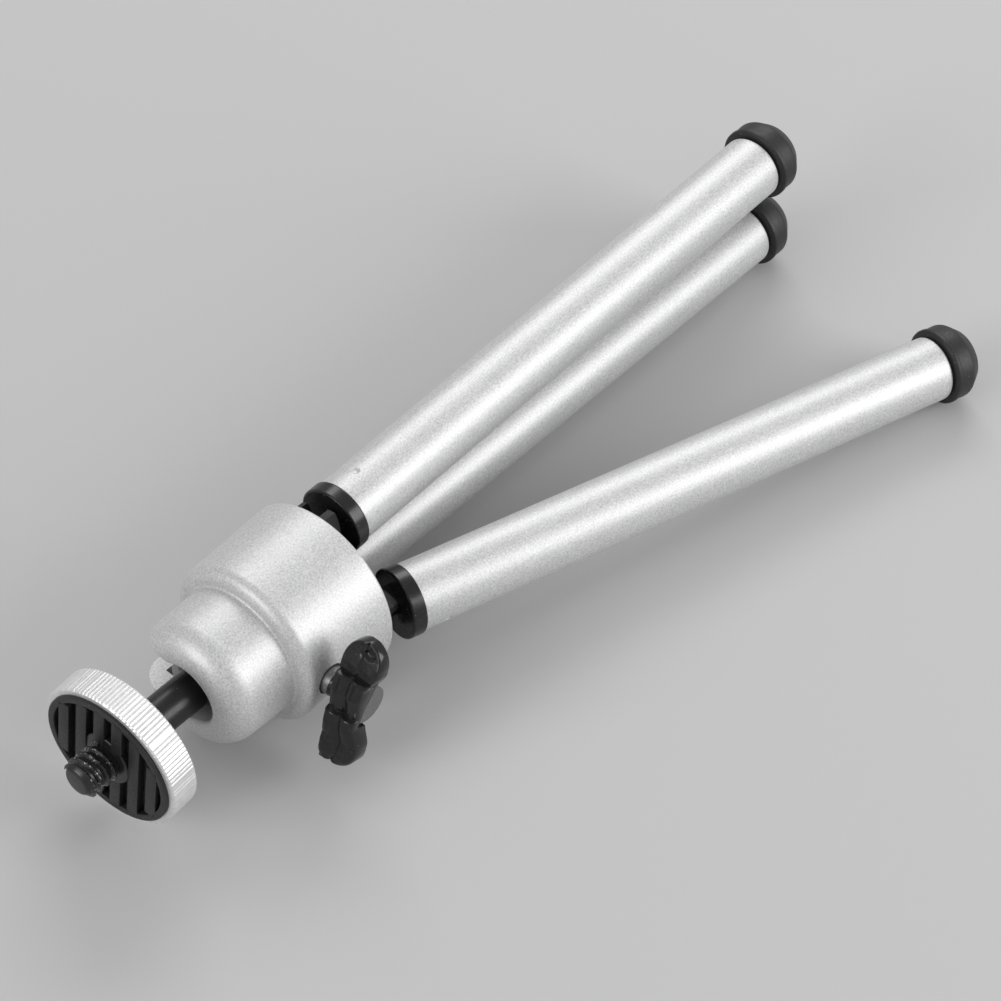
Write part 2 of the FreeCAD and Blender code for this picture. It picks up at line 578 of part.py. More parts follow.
def resting_placement(shapes):
    """Placement that lays the tripod down, centred over the origin with its lowest point at 0."""
    up, contact = resting_plane()
    along = (Z_AXIS - up * up.z).normalize()
    side = up.cross(along)
    turn = FreeCAD.Placement(FreeCAD.Matrix(along.x, along.y, along.z, 0, side.x, side.y, side.z, 0,
                                            up.x, up.y, up.z, 0, 0, 0, 0, 1))
    laid = Part.makeCompound([shape.copy() for shape in shapes])
    laid.transformShape(turn.toMatrix())
    bounds = laid.optimalBoundingBox(False, False)
    shift = V(-(bounds.XMin + bounds.XMax) / 2, -(bounds.YMin + bounds.YMax) / 2, -bounds.ZMin)
    return FreeCAD.Placement(shift, turn.Rotation)


def main():
    nodes = upright_nodes()
    placement = resting_placement(nodes.values())
    os.makedirs("parts", exist_ok=True)
    for name, shape in nodes.items():
        laid = shape.copy()
        laid.transformShape(placement.toMatrix())
        laid.exportStep("parts/" + name + ".step")
    return nodes, placement


if __name__ == "__main__":
    main()
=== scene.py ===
"""Pocket tripod: finishes for its solids, and the finer pieces that stand for some of them."""
import json
from math import cos, pi, radians, sin

import bmesh
import bpy
from mathutils import Matrix, Vector


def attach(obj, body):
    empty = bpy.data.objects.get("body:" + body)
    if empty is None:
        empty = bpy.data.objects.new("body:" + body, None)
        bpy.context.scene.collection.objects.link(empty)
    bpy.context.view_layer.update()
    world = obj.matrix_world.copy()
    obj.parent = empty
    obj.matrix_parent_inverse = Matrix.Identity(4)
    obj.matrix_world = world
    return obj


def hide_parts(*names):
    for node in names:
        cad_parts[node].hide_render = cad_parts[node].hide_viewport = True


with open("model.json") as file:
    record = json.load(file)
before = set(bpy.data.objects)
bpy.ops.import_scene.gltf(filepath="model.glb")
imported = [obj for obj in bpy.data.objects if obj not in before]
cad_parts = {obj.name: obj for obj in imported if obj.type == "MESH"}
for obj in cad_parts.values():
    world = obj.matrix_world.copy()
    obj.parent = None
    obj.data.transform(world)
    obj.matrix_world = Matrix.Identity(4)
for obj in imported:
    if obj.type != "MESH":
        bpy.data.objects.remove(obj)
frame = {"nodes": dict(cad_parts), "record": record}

bl_info = {
    "name": "Pocket tripod",
    "version": (1, 0, 0),
    "blender": (4, 5, 0),
    "location": "View3D > Sidebar > Tripod",
    "description": "Builds the pieces, finishes and stage of a pocket tripod with a ball head",
    "category": "Object",
}

MM = 0.001
LEGS = ("a", "b", "c")
JOINTS = {joint["name"]: joint for joint in frame["record"]["behaviour"]["joints"]}


# ---------------------------------------------------------------- places

def axes_matrix(origin, x, y, z):
    """Matrix that takes millimetres in a local frame to the row frame."""
    turn = Matrix((x, y, z)).transposed().to_4x4()
    return Matrix.Translation(origin) @ turn @ Matrix.Scale(MM, 4)


def head_matrix():
    """Upright frame of the head: Z towards the camera screw, X towards leg A, Z = 0 at the ball."""
    along = Vector(JOINTS["platform_spin"]["axis"]).normalized()
    ball = Vector(JOINTS["ball_sway"]["pos_m"])
    out = Vector(JOINTS["fold_a"]["pos_m"]) - ball
    out = (out - along * out.dot(along)).normalized()
    return axes_matrix(ball, out, along.cross(out), along)


def leg_matrix(leg):
    """Frame of one leg: origin at its hinge, Z back along the tube, X away from the head's axis."""
    along = -Vector(JOINTS["extend_" + leg]["axis"]).normalized()
    side = -Vector(JOINTS["fold_" + leg]["axis"]).normalized()
    return axes_matrix(Vector(JOINTS["fold_" + leg]["pos_m"]), side.cross(along), side, along)


def knob_matrix(turn):
    """Frame of the knob: X outwards along the clamp screw, Y along the wings."""
    out = Vector(JOINTS["clamp_turn"]["axis"]).normalized()
    up = Vector(JOINTS["platform_spin"]["axis"]).normalized()
    up = (up - out * up.dot(out)).normalized()
    side = up.cross(out)
    roll = Matrix.Rotation(-turn, 3, out)
    return axes_matrix(Vector(JOINTS["clamp_turn"]["pos_m"]), out, roll @ side, roll @ up)


# ---------------------------------------------------------------- settings

def length(name, description, millimetres):
    """Length property with its default in millimetres."""
    return bpy.props.FloatProperty(name=name, description=description, default=millimetres * MM,
                                   min=0.0, subtype="DISTANCE", unit="LENGTH", precision=5)


def colour(name, description, value):
    """Colour property with its default."""
    return bpy.props.FloatVectorProperty(name=name, description=description, default=value,
                                         min=0.0, max=1.0, size=3, subtype="COLOR")


class PlatformSizes(bpy.types.PropertyGroup):
    reach: length("Reach", "Ball centre to the back of the platform", 17.85)
    radius: length("Radius", "Outer radius of the knurled disc", 11.85)
    thickness: length("Thickness", "Thickness of the knurled disc", 4.9)
    recess: length("Recess", "Depth of the recess for the pad", 2.0)
    knurl_depth: length("Knurl depth", "Depth of the grooves of the knurling", 0.09)
    knurls: bpy.props.IntProperty(name="Knurls", description="Grooves round the disc", default=112,
                                  min=12, max=200)
    skew: bpy.props.FloatProperty(name="Skew", description="Tilt of the disc on its screw",
                                  default=radians(3.5), subtype="ANGLE", unit="ROTATION")
    skew_azimuth: bpy.props.FloatProperty(name="Skew direction",
                                          description="Direction that the disc tilts in",
                                          default=radians(210), subtype="ANGLE", unit="ROTATION")


class PadSizes(bpy.types.PropertyGroup):
    radius: length("Radius", "Outer radius of the rubber pad", 10.9)
    proud: length("Proud", "Height of the pad above the disc's rim", 0.55)
    ring: length("Ring width", "Width of the raised ring", 1.1)
    groove: length("Groove depth", "Depth between the ribs", 1.3)
    rib: length("Rib width", "Width of a rib", 1.9)
    pitch: length("Rib pitch", "Distance from rib to rib", 3.2)
    turn: bpy.props.FloatProperty(name="Turn", description="Direction of the ribs",
                                  default=radians(-28), subtype="ANGLE", unit="ROTATION")


class ScrewSizes(bpy.types.PropertyGroup):
    radius: length("Radius", "Outside radius of the thread", 3.175)
    length: length("Length", "Length above the pad", 5.65)
    pitch: length("Pitch", "Distance from thread to thread", 1.27)
    thread_depth: length("Thread depth", "Depth of the thread", 0.62)
    flange: length("Flange radius", "Radius of the flange in the pad", 4.2)
    point: length("Point", "Height of the rounded end", 0.7)


class KnobSizes(bpy.types.PropertyGroup):
    inner: length("Inner edge", "Head's axis to the inner edge of the wing", 15.32)
    width: length("Width", "Width of the wing along the clamp screw", 6.3)
    span: length("Span", "Length of the wing from tip to tip", 21.2)
    corner: length("Corner radius", "Radius of the tips' outer corners", 3.4)
    inner_corner: length("Inner corner radius", "Radius of the tips' inner corners", 1.3)
    saddle: length("Saddle depth", "Depth of the hollow in the outer edge", 1.1)
    edge: length("Edge radius", "Rounding of the wing's edges", 0.3)
    hub: length("Hub radius", "Radius of the hub", 2.9)
    neck: length("Neck radius", "Radius of the neck between hub and washer", 2.2)
    turn: bpy.props.FloatProperty(name="Turn", description="Turn of the wings about the screw",
                                  default=radians(15.6), subtype="ANGLE", unit="ROTATION")


class FootSizes(bpy.types.PropertyGroup):
    radius: length("Radius", "Outer radius of a rubber foot", 6.15)
    band: length("Band", "Length of the straight band", 3.2)
    taper: length("Taper", "Length of the tapered end", 2.3)
    tip: length("Tip radius", "Radius of the flat end", 4.3)
    socket: length("Socket radius", "Radius of the hole for the tube", 4.5)


class Finishes(bpy.types.PropertyGroup):
    paint: colour("Paint", "Silver paint of the head and tubes", (0.64, 0.64, 0.645))
    bright: colour("Bright metal", "Turned and knurled metal", (0.80, 0.80, 0.80))
    steel: colour("Steel", "Plain steel of screws and pins", (0.24, 0.24, 0.245))
    black: colour("Black plastic", "Moulded caps, hub and knob", (0.012, 0.012, 0.013))
    rubber: colour("Rubber", "Feet and pad", (0.014, 0.014, 0.015))
    grey: colour("Grey plastic", "Liner, cup and sleeves", (0.30, 0.30, 0.30))
    flake: length("Flake size", "Size of the flakes in the paint", 0.27)


class StageSettings(bpy.types.PropertyGroup):
    azimuth: bpy.props.FloatProperty(name="Azimuth", description="Camera's direction",
                                     default=radians(127.82), subtype="ANGLE", unit="ROTATION")
    elevation: bpy.props.FloatProperty(name="Elevation", description="Camera's height angle",
                                       default=radians(49.47), subtype="ANGLE", unit="ROTATION")
    roll: bpy.props.FloatProperty(name="Roll", description="Camera's roll",
                                  default=radians(3.91), subtype="ANGLE", unit="ROTATION")
    distance: length("Distance", "Camera to the point it looks at", 500.18)
    target_x: bpy.props.FloatProperty(name="Target X", description="Point on the floor that the "
                                      "camera looks at", default=-0.00765, unit="LENGTH")
    target_y: bpy.props.FloatProperty(name="Target Y", description="Point on the floor that the "
                                      "camera looks at", default=-0.01342, unit="LENGTH")
    lens: bpy.props.FloatProperty(name="Lens", description="Focal length on a 36 mm wide sensor",
                                  default=117.73, unit="CAMERA")
    floor: colour("Floor", "Colour of the floor", (0.54, 0.54, 0.54))
    world: bpy.props.FloatProperty(name="Sky strength", description="Light from all round",
                                   default=0.5, min=0.0)
    key: bpy.props.FloatProperty(name="Key lamp", description="Power of the main soft lamp",
                                 default=2.6, min=0.0, subtype="POWER", unit="POWER")
    fill: bpy.props.FloatProperty(name="Fill lamp", description="Power of the second soft lamp",
                                  default=4.1, min=0.0, subtype="POWER", unit="POWER")
    front: bpy.props.FloatProperty(name="Front lamp", description="Power of the lamp that faces "
                                   "the platform", default=2.4, min=0.0, subtype="POWER",
                                   unit="POWER")


class TripodSettings(bpy.types.PropertyGroup):
    platform: bpy.props.PointerProperty(type=PlatformSizes, name="Platform",
                                        description="Sizes of the platform")
    pad: bpy.props.PointerProperty(type=PadSizes, name="Pad", description="Sizes of the pad")
    screw: bpy.props.PointerProperty(type=ScrewSizes, name="Camera screw",
                                     description="Sizes of the camera screw")
    knob: bpy.props.PointerProperty(type=KnobSizes, name="Knob", description="Sizes of the knob")
    foot: bpy.props.PointerProperty(type=FootSizes, name="Feet", description="Sizes of the feet")
    finish: bpy.props.PointerProperty(type=Finishes, name="Finishes",
                                      description="Colours of the finishes")
    stage: bpy.props.PointerProperty(type=StageSettings, name="Stage",
                                     description="Camera, lamps and floor")


# ---------------------------------------------------------------- mesh helpers

def lathe(profile, steps):
    """Body of revolution about Z from (radius, height) corners in millimetres."""
    bm = bmesh.new()
    corners = [bm.verts.new((radius, 0, height)) for radius, height in profile]
    edges = [bm.edges.new(pair) for pair in zip(corners, corners[1:])]
    bmesh.ops.spin(bm, geom=corners + edges, cent=(0, 0, 0), axis=(0, 0, 1), angle=2 * pi,
                   steps=steps, use_merge=True)
    bmesh.ops.remove_doubles(bm, verts=bm.verts, dist=0.001)
    bmesh.ops.recalc_face_normals(bm, faces=bm.faces)
    return bm


# How near a vertex lies to a ring that it belongs to, in millimetres
ON_RING = 0.02


def ring_edges(bm, radius, height):
    """Edges of the ring at a radius and a height."""
    def on_ring(vert):
        return abs(vert.co.xy.length - radius) < ON_RING and abs(vert.co.z - height) < ON_RING
    return [edge for edge in bm.edges if all(on_ring(vert) for vert in edge.verts)]


def rounded(bm, edges, width, segments=3):
    """Rounds edges by a width."""
    bmesh.ops.bevel(bm, geom=edges, offset=width, offset_type="OFFSET", segments=segments,
                    profile=0.5, affect="EDGES", material=-1)


def block(bm, low, high, edge=0.0, segments=2):
    """Adds a box between two corners, with its edges rounded."""
    made = bmesh.ops.create_cube(bm, size=1.0)["verts"]
    size = [high[i] - low[i] for i in range(3)]
    middle = [(high[i] + low[i]) / 2 for i in range(3)]
    bmesh.ops.scale(bm, vec=size, verts=made)
    bmesh.ops.translate(bm, vec=middle, verts=made)
    if edge:
        rounded(bm, list({e for v in made for e in v.link_edges}), edge, segments)


def piece(bm, name, matrix, body, material, replaces=()):
    """Object from a mesh drawn in a local frame; rides on a body and stands for solids."""
    bmesh.ops.transform(bm, matrix=matrix, verts=bm.verts)
    mesh = bpy.data.meshes.new(name)
    bm.to_mesh(mesh)
    bm.free()
    mesh.materials.append(material)
    mesh.shade_smooth()
    mesh.set_sharp_from_angle(angle=radians(32))
    made = bpy.data.objects.new(name, mesh)
    bpy.context.scene.collection.objects.link(made)
    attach(made, body)
    if replaces:
        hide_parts(*replaces)
    return made


# ---------------------------------------------------------------- finishes

def group_nodes(name, inputs, outputs):
    """New shader node group with named sockets, each (name, socket type, default)."""
    group = bpy.data.node_groups.new(name, "ShaderNodeTree")
    for kind, sockets in (("INPUT", inputs), ("OUTPUT", outputs)):
        for label, socket_type, default in sockets:
            socket = group.interface.new_socket(label, in_out=kind, socket_type=socket_type)
            if default is not None:
                socket.default_value = default
    source = group.nodes.new("NodeGroupInput")
    result = group.nodes.new("NodeGroupOutput")
    return group, source.outputs, result.inputs


def math_node(group, operation, first, second=None, third=None):
    """Math node in a tree; numbers and sockets both serve as inputs."""
    node = group.nodes.new("ShaderNodeMath")
    node.operation = operation
    for index, value in enumerate((first, second, third)):
        if value is None:
            continue
        if isinstance(value, (int, float)):
            node.inputs[index].default_value = value
        else:
            group.links.new(value, node.inputs[index])
    return node.outputs[0]


def noise(group, vector, scale, detail=2.0, rough=0.5):
    """Noise node in a tree; the scale is a number or a socket."""
    node = group.nodes.new("ShaderNodeTexNoise")
    node.inputs["Detail"].default_value = detail
    node.inputs["Roughness"].default_value = rough
    if isinstance(scale, (int, float)):
        node.inputs["Scale"].default_value = scale
    else:
        group.links.new(scale, node.inputs["Scale"])
    group.links.new(vector, node.inputs["Vector"])
    return node.outputs["Fac"]


def mask_above(group, value, level, gain):
    """Mask that rises from 0 at a level to 1, at a rate set by the gain."""
    above = math_node(group, "SUBTRACT", value, level)
    steep = math_node(group, "MULTIPLY", above, gain)
    return math_node(group, "MINIMUM", math_node(group, "MAXIMUM", steep, 0.0), 1.0)


def flake_group():
    """Flakes in metallic paint: a lightness factor and a height for the bump."""
    group, source, result = group_nodes(
        "Paint flakes",
        (("Vector", "NodeSocketVector", None), ("Scale", "NodeSocketFloat", 7000.0),
         ("Strength", "NodeSocketFloat", 0.25)),
        (("Lightness", "NodeSocketFloat", None), ("Height", "NodeSocketFloat", None)))
    fine = noise(group, source["Vector"], source["Scale"], 1.0)
    wide = noise(group, source["Vector"], 260.0, 3.0)
    centred = math_node(group, "SUBTRACT", fine, 0.5)
    spread = math_node(group, "MULTIPLY", centred, source["Strength"])
    drift = math_node(group, "MULTIPLY_ADD", math_node(group, "SUBTRACT", wide, 0.5), 0.06, 1.0)
    group.links.new(math_node(group, "ADD", drift, spread), result["Lightness"])
    group.links.new(fine, result["Height"])
    return group


def grain_group():
    """Cloudy grain with specks of dust, for moulded surfaces."""
    group, source, result = group_nodes(
        "Moulded grain",
        (("Vector", "NodeSocketVector", None), ("Scale", "NodeSocketFloat", 900.0),
         ("Dust", "NodeSocketFloat", 0.5)),
        (("Grain", "NodeSocketFloat", None), ("Dust", "NodeSocketFloat", None)))
    grain = noise(group, source["Vector"], source["Scale"], 4.0, 0.6)
    specks = noise(group, source["Vector"], 2600.0, 2.0, 0.7)
    dust = mask_above(group, specks, 0.70, 22.0)
    group.links.new(grain, result["Grain"])
    group.links.new(math_node(group, "MULTIPLY", dust, source["Dust"]), result["Dust"])
    return group


class Finish:
    """A material under construction: its tree, its shader and the object's coordinates."""

    def __init__(self, name, colour, metallic, roughness):
        self.material = bpy.data.materials.new(name)
        self.material.use_nodes = True
        self.tree = self.material.node_tree
        self.shader = self.tree.nodes["Principled BSDF"]
        self.colour = colour
        self.set("Base Color", (*colour, 1.0))
        self.set("Metallic", metallic)
        self.set("Roughness", roughness)
        self.place = self.tree.nodes.new("ShaderNodeTexCoord").outputs["Object"]

    def set(self, socket, value):
        """Gives a socket of the shader a constant."""
        self.shader.inputs[socket].default_value = value

    def link(self, output, socket):
        """Joins an output to a socket of the shader."""
        self.tree.links.new(output, self.shader.inputs[socket])

    def group(self, group, **values):
        """Outputs of a node group fed with the object's coordinates."""
        node = self.tree.nodes.new("ShaderNodeGroup")
        node.node_tree = group
        self.tree.links.new(self.place, node.inputs["Vector"])
        for label, value in values.items():
            node.inputs[label.capitalize()].default_value = value
        return node.outputs

    def tinted(self, factor):
        """Base colour times a factor that changes over the surface."""
        node = self.tree.nodes.new("ShaderNodeVectorMath")
        node.operation = "SCALE"
        node.inputs[0].default_value = self.colour
        self.tree.links.new(factor, node.inputs["Scale"])
        self.link(node.outputs["Vector"], "Base Color")

    def blended(self, factor, other):
        """Base colour mixed with another by a mask."""
        node = self.tree.nodes.new("ShaderNodeMix")
        node.data_type = "RGBA"
        node.inputs["A"].default_value = (*self.colour, 1.0)
        node.inputs["B"].default_value = (*other, 1.0)
        self.tree.links.new(factor, node.inputs["Factor"])
        self.link(node.outputs["Result"], "Base Color")

    def rough(self, factor, low, high):
        """Roughness that follows a factor from 0 to 1."""
        self.link(math_node(self.tree, "MULTIPLY_ADD", factor, high - low, low), "Roughness")

    def bumped(self, height, strength, distance):
        """Surface relief from a height."""
        node = self.tree.nodes.new("ShaderNodeBump")
        node.inputs["Strength"].default_value = strength
        node.inputs["Distance"].default_value = distance
        self.tree.links.new(height, node.inputs["Height"])
        self.link(node.outputs["Normal"], "Normal")


def silver_paint(settings, group):
    """Metallic paint with fine flakes."""
    finish = Finish("Silver paint", settings.paint, 0.5, 0.50)
    flakes = finish.group(group, scale=1 / settings.flake, strength=0.8)
    finish.tinted(flakes["Lightness"])
    finish.rough(flakes["Height"], 0.42, 0.58)
    finish.bumped(flakes["Height"], 0.5, 0.00003)
    return finish.material


def bright_metal(settings, group):
    """Bright machined metal with a light haze."""
    finish = Finish("Bright metal", settings.bright, 0.7, 0.42)
    grain = finish.group(group, scale=1400.0, dust=0.0)
    finish.tinted(math_node(finish.tree, "MULTIPLY_ADD", grain["Grain"], 0.3, 0.85))
    finish.rough(grain["Grain"], 0.34, 0.52)
    return finish.material


def plain_steel(settings, group):
    """Dull steel with a brushed look."""
    finish = Finish("Plain steel", settings.steel, 0.9, 0.42)
    grain = finish.group(group, scale=3200.0, dust=0.0)
    finish.tinted(math_node(finish.tree, "MULTIPLY_ADD", grain["Grain"], 1.1, 0.45))
    finish.rough(grain["Grain"], 0.32, 0.52)
    return finish.material


def black_gloss(name, settings, group, low, high, dust):
    """Black plastic or paint with a few specks of dust, its roughness between low and high."""
    finish = Finish(name, settings.black, 0.0, (low + high) / 2)
    grain = finish.group(group, scale=1100.0, dust=dust)
    finish.blended(grain["Dust"], (0.45, 0.45, 0.45))
    finish.rough(grain["Grain"], low, high)
    finish.bumped(grain["Grain"], 0.12, 0.00003)
    finish.set("Specular IOR Level", 0.4)
    return finish.material


# Black finishes: name, lowest and highest roughness, amount of dust
BLACKS = (("Black paint", 0.22, 0.4, 0.3), ("Black plastic", 0.16, 0.34, 0.5),
          ("Knob plastic", 0.12, 0.24, 0.25), ("Matte plastic", 0.42, 0.6, 0.3))


def worn_black(settings, group):
    """Blackened steel, rubbed bright in spots where the attribute called worn is set."""
    finish = Finish("Worn black steel", settings.black, 0.0, 0.3)
    grain = finish.group(group, scale=2400.0, dust=0.0)
    worn = finish.tree.nodes.new("ShaderNodeAttribute")
    worn.attribute_name = "worn"
    spots = mask_above(finish.tree, grain["Grain"], 0.58, 9.0)
    mask = math_node(finish.tree, "MULTIPLY", spots, worn.outputs["Fac"])
    finish.blended(mask, settings.bright)
    finish.link(mask, "Metallic")
    return finish.material


def soft_rubber(settings, group):
    """Matt black rubber with dust."""
    finish = Finish("Rubber", settings.rubber, 0.0, 0.5)
    grain = finish.group(group, scale=1500.0, dust=0.6)
    finish.blended(grain["Dust"], (0.4, 0.4, 0.4))
    finish.rough(grain["Grain"], 0.38, 0.62)
    finish.bumped(grain["Grain"], 0.2, 0.00004)
    return finish.material


def grey_plastic(settings, group):
    """Plain grey moulded plastic."""
    finish = Finish("Grey plastic", settings.grey, 0.0, 0.5)
    grain = finish.group(group, scale=1200.0, dust=0.0)
    finish.tinted(math_node(finish.tree, "MULTIPLY_ADD", grain["Grain"], 0.3, 0.85))
    finish.rough(grain["Grain"], 0.4, 0.6)
    return finish.material


def finish_named(name):
    """Material made by the finishes operator."""
    return bpy.data.materials[name]


NODE_FINISHES = {
    "Silver paint": ("head_housing", "outer_tube_a", "outer_tube_b", "outer_tube_c"),
    "Bright metal": ("platform_disc", "inner_tube_a", "inner_tube_b", "inner_tube_c"),
    "Plain steel": ("clamp_screw", "clamp_washer", "hub_screws", "hinge_pin_a", "hinge_pin_b",
                    "hinge_pin_c"),
    "Black paint": ("ball", "ball_stem", "camera_screw"),
    "Matte plastic": ("leg_hub",),
    "Black plastic": ("leg_cap_a", "leg_cap_b", "leg_cap_c"),
    "Knob plastic": ("wing_knob",),
    "Grey plastic": ("ball_liner", "pressure_cup", "tube_bush_a", "tube_bush_b", "tube_bush_c"),
    "Rubber": ("rubber_pad", "foot_a", "foot_b", "foot_c"),
}


# ---------------------------------------------------------------- pieces

def skew_matrix(sizes):
    """Tilt of the disc and the pad about the middle of the disc, in the head's frame."""
    axis = Vector((-sin(sizes.skew_azimuth), cos(sizes.skew_azimuth), 0))
    middle = Vector((0, 0, (sizes.reach + sizes.thickness / 2) / MM))
    return (Matrix.Translation(middle) @ Matrix.Rotation(sizes.skew, 4, axis)
            @ Matrix.Translation(-middle))


# Depth of the disc's side across one groove, as shares of the full depth
GROOVE = (1.0, 0.35, 0.0, 0.2)
# Widest rounding at the disc's edges and gap round the pad, in millimetres
DISC_EDGE, PAD_GAP = 0.35, 0.02


def uneven(groove):
    """Depth factor of a groove, between 0.75 and 1.25, that differs from groove to groove."""
    return 0.75 + 0.5 * (groove * 7919 % 31) / 31


def knurled_disc(sizes, pad):
    """Disc with straight grooves round its side and a recess for the pad."""
    back = sizes.reach / MM
    front = back + sizes.thickness / MM
    floor = front - sizes.recess / MM
    outer, inner = sizes.radius / MM, pad.radius / MM
    steps = sizes.knurls * len(GROOVE)
    bm = lathe([(0, back), (outer - DISC_EDGE, back), (outer, back + 0.3), (outer, front - 0.25),
                (outer - 0.2, front), (inner, front), (inner, floor), (0, floor)], steps)
    depth = sizes.knurl_depth / MM
    for vert in bm.verts:
        radius = vert.co.xy.length
        if radius < outer - DISC_EDGE - 0.05:
            continue
        column = round(Vector((1, 0)).angle_signed(vert.co.xy) / (2 * pi) * steps) % steps
        groove, place = divmod(column, len(GROOVE))
        sink = GROOVE[place] * depth * uneven(groove)
        vert.co.xy *= (radius - sink) / radius
    return bm


def ribbed_pad(sizes, platform):
    """Pad with a raised ring and straight ribs across it."""
    front = (platform.reach + platform.thickness) / MM
    top = front + sizes.proud / MM
    low = top - sizes.groove / MM
    radius, ring = sizes.radius / MM - PAD_GAP, sizes.ring / MM
    floor = front - platform.recess / MM + PAD_GAP
    bm = lathe([(0, floor), (radius, floor), (radius, top), (radius - ring, top),
                (radius - ring, low), (0, low)], 128)
    rounded(bm, ring_edges(bm, radius, top) + ring_edges(bm, radius - ring, top), 0.18)
    pitch, width = sizes.pitch / MM, sizes.rib / MM
    count = int((radius - ring) / pitch)
    for step in range(-count, count):
        middle = (step + 0.5) * pitch
        reach = (radius ** 2 - (abs(middle) + width / 2) ** 2) ** 0.5 - ring * 0.45
        block(bm, (-reach, middle - width / 2, low - 0.3), (reach, middle + width / 2, top), 0.15)
    bmesh.ops.rotate(bm, verts=bm.verts, matrix=Matrix.Rotation(sizes.turn, 3, "Z"))
    return bm


# Section of a thread along the screw, as shares of the pitch, and steps in one turn of it
CREST_START, CREST_END, ROOT_END = 0.38, 0.52, 0.9
THREAD_STEPS = 48


def thread_ridge(bm, core, crest, start, pitch, turns):
    """Adds a helical ridge from just under the core out to the crest."""
    root = core - 0.15
    corners = [(root, start), (crest, start + pitch * CREST_START),
               (crest, start + pitch * CREST_END), (root, start + pitch * ROOT_END)]
    ridge = [bm.verts.new((radius, 0, height)) for radius, height in corners]
    edges = [bm.edges.new((ridge[i], ridge[i - 1])) for i in range(len(ridge))]
    steps = int(turns * THREAD_STEPS)
    bmesh.ops.spin(bm, geom=ridge + edges, cent=(0, 0, 0), axis=(0, 0, 1), angle=2 * pi * turns,
                   dvec=(0, 0, pitch * turns / steps), steps=steps, use_merge=False)
    bmesh.ops.holes_fill(bm, edges=[edge for edge in bm.edges if edge.is_boundary], sides=6)


def threaded_screw(sizes, platform, pad):
    """Flanged screw with a helical thread and a rounded end; its crests are marked as worn."""
    front = (platform.reach + platform.thickness) / MM
    seat = front + pad.proud / MM
    floor = front - platform.recess / MM
    tip = seat + sizes.length / MM
    outer, pitch = sizes.radius / MM, sizes.pitch / MM
    point, flange = sizes.point / MM, sizes.flange / MM
    core = outer - sizes.thread_depth / MM
    end = core - point * 0.8
    bm = lathe([(0, floor), (flange, floor), (flange, seat), (core, seat), (core, tip - point),
                (end, tip), (0, tip)], 64)
    rounded(bm, ring_edges(bm, flange, seat), 0.25)
    rounded(bm, ring_edges(bm, core, tip - point) + ring_edges(bm, end, tip), 0.3)
    thread_ridge(bm, core, outer - 0.12, seat - pitch * 0.4, pitch,
                 (tip - seat - point * 0.6) / pitch)
    worn = bm.verts.layers.float.new("worn")
    for vert in bm.verts:
        limit = outer - max(0.0, vert.co.z - (tip - point * 1.6)) * 0.55
        if vert.co.xy.length > limit and vert.co.z > seat + 0.01:
            vert.co.xy *= limit / vert.co.xy.length
        vert.co.z = min(vert.co.z, tip)
        vert[worn] = float(vert.co.xy.length > outer - 0.2 and vert.co.z > seat + 0.1)
    bmesh.ops.recalc_face_normals(bm, faces=bm.faces)
    return bm


# Along the wing, in millimetres from the screw: height of the gripped side and of the plain side
GRIP_SIDE = ((-11.3, 3.0), (-9.0, 3.4), (-7.5, 3.5), (-6.1, 3.3), (-5.8, 3.55), (-4.0, 3.8),
             (-1.9, 3.85), (-1.6, 3.1), (-0.5, 3.3), (1.8, 3.8), (4.3, 3.4), (4.6, 2.3),
             (5.4, 2.5), (6.4, 2.45), (7.4, 2.2), (8.6, 1.8), (9.8, 1.5), (11.3, 1.3))
PLAIN_SIDE = ((-11.3, 0.3), (-10.0, 0.0), (-3.5, 0.0), (-3.1, 1.7), (0.5, 0.75), (3.2, -0.4),
              (6.0, -0.7), (11.3, -0.6))
# Recess in one tip, in millimetres: place across and along the wing, half sizes and depth
RECESS_X, RECESS_Y = 19.2, 8.9
RECESS_HALF_X, RECESS_HALF_Y = 0.9, 0.55
RECESS_DEPTH = 0.5
# Seam between the two columns of the grip, the step from one to the other, and how far their
# sides fall away, before and past the place along the wing where the tip starts
SEAM_DEPTH, COLUMN_STEP = 0.08, 0.22
BARREL, TIP_BARREL = 0.42, 0.1
BARREL_END = 4.5
# Hollow in the wing's outer edge: half its length and the length of each ramp
SADDLE_HALF, SADDLE_RAMP = 6.4, 3.2


def along(points, place):
    """Height at a place along a line of (place, height) points."""
    for (start, low), (end, high) in zip(points, points[1:]):
        if place <= end:
            return low + (high - low) * (place - start) / (end - start)
    return points[-1][1]


def corner_inset(radius, half, y):
    """How far a rounded corner draws an edge in, at a distance from the screw."""
    past = max(0.0, abs(y) - (half - radius))
    return radius - (radius ** 2 - past ** 2) ** 0.5


def wing_edges(sizes, y):
    """Inner and outer edge of the wing at a distance from the screw."""
    half = sizes.span / MM / 2
    near = sizes.inner_corner if y < 0 else sizes.corner
    hollow = min(1.0, max(0.0, (SADDLE_HALF - abs(y)) / SADDLE_RAMP))
    hollow = hollow * hollow * (3 - 2 * hollow) * sizes.saddle / MM
    inner = sizes.inner / MM
    return (inner + corner_inset(near / MM, half, y),
            inner + sizes.width / MM - corner_inset(sizes.corner / MM, half, y) - hollow)


def grip_height(u, x, y):
    """Height of the gripped side: u runs from -1 to 1 across the wing, x and y are its place."""
    barrel = (2 * abs(u) - 1) ** 2 * (BARREL if y < BARREL_END else TIP_BARREL)
    seam = SEAM_DEPTH * max(0.0, 1 - abs(u) / 0.04) + (COLUMN_STEP if u > 0 else 0.0)
    past = ((x - RECESS_X) / RECESS_HALF_X) ** 2 + ((y - RECESS_Y) / RECESS_HALF_Y) ** 2
    return along(GRIP_SIDE, y) - barrel - seam - RECESS_DEPTH / (1 + past ** 4)


